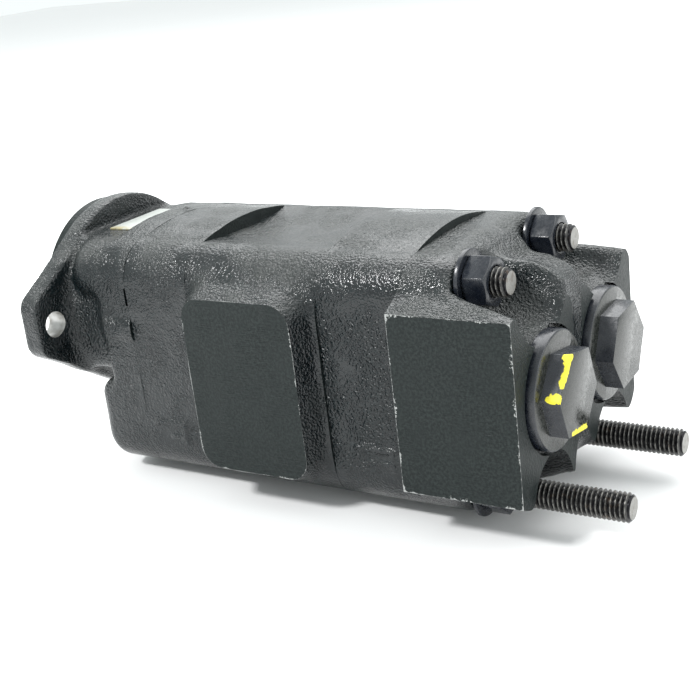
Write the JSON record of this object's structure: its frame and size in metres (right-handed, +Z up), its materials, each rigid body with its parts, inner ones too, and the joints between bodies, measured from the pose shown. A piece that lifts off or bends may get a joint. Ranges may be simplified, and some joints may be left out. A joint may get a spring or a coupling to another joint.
{
  "type": "hydraulic gear pump",
  "caption": "Tandem external gear pump: flanged cast housings on a common shaft, clamped together by tie studs, with blank side pads and plugged rear ports.",
  "frame": {"origin": "centre of the mounting flange's face, on the input shaft's axis", "axes": "+X from the flange back to the port end cover, along the input shaft; +Z up, away from the driven gears; the blank side pads face -Y"},
  "size_m": [0.2873, 0.126, 0.1139],
  "materials": {
    "black_casting": "semi-gloss black paint over sand-cast iron, milled pads under the same paint",
    "black_steel": "glossy black paint over steel nuts, washers and plugs",
    "stud_steel": "dark oiled steel thread with bright crests",
    "gear_steel": "ground hardened steel",
    "bronze": "machined bearing bronze",
    "seal_rubber": "matte black rubber",
    "blank_plate": "pale matt foil plate with no marking"
  },
  "bodies": {
    "pump_body": {"shaft_end_cover": "black_casting", "front_gear_housing": "black_casting", "bearing_carrier": "black_casting", "rear_gear_housing": "black_casting", "port_end_cover": "black_casting", "cover_drive_bush": "bronze", "cover_driven_bush": "bronze", "carrier_front_drive_bush": "bronze", "carrier_front_driven_bush": "bronze", "carrier_rear_drive_bush": "bronze", "carrier_rear_driven_bush": "bronze", "end_drive_bush": "bronze", "end_driven_bush": "bronze", "front_section_front_thrust_plate": "bronze", "front_section_rear_thrust_plate": "bronze", "rear_section_front_thrust_plate": "bronze", "rear_section_rear_thrust_plate": "bronze", "cover_face_seal": "seal_rubber", "carrier_front_face_seal": "seal_rubber", "carrier_rear_face_seal": "seal_rubber", "end_face_seal": "seal_rubber", "cover_dowel_1": "gear_steel", "cover_dowel_2": "gear_steel", "carrier_front_dowel_1": "gear_steel", "carrier_front_dowel_2": "gear_steel", "carrier_rear_dowel_1": "gear_steel", "carrier_rear_dowel_2": "gear_steel", "end_dowel_1": "gear_steel", "end_dowel_2": "gear_steel", "shaft_seal": "seal_rubber", "upper_near_stud": "stud_steel", "upper_far_stud": "stud_steel", "lower_near_stud": "stud_steel", "lower_far_stud": "stud_steel", "upper_near_washer": "black_steel", "upper_far_washer": "black_steel", "lower_near_washer": "black_steel", "lower_far_washer": "black_steel", "upper_near_nut": "black_steel", "upper_far_nut": "black_steel", "lower_near_nut": "black_steel", "lower_far_nut": "black_steel", "near_port_plug": "black_steel", "far_port_plug": "black_steel", "near_plug_o_ring": "seal_rubber", "far_plug_o_ring": "seal_rubber", "name_plate": "blank_plate"},
    "drive_train": {"front_drive_gear": "gear_steel", "shaft_key": "gear_steel", "connecting_shaft": "gear_steel", "rear_drive_gear": "gear_steel"},
    "front_driven_gear": {"front_driven_gear": "gear_steel"},
    "rear_driven_gear": {"rear_driven_gear": "gear_steel"}
  },
  "joints": [
    {"name": "input_shaft_spin", "type": "hinge", "parent": "pump_body", "child": "drive_train", "pos_m": [0, 0, 0], "axis": [1, 0, 0], "continuous": true},
    {"name": "front_driven_gear_spin", "type": "hinge", "parent": "pump_body", "child": "front_driven_gear", "pos_m": [0.06, 0, -0.035], "axis": [1, 0, 0], "continuous": true},
    {"name": "rear_driven_gear_spin", "type": "hinge", "parent": "pump_body", "child": "rear_driven_gear", "pos_m": [0.158, 0, -0.035], "axis": [1, 0, 0], "continuous": true}
  ],
  "couplings": [
    {"joint": "front_driven_gear_spin", "follows": "input_shaft_spin", "ratio": -1},
    {"joint": "rear_driven_gear_spin", "follows": "input_shaft_spin", "ratio": -1}
  ]
}
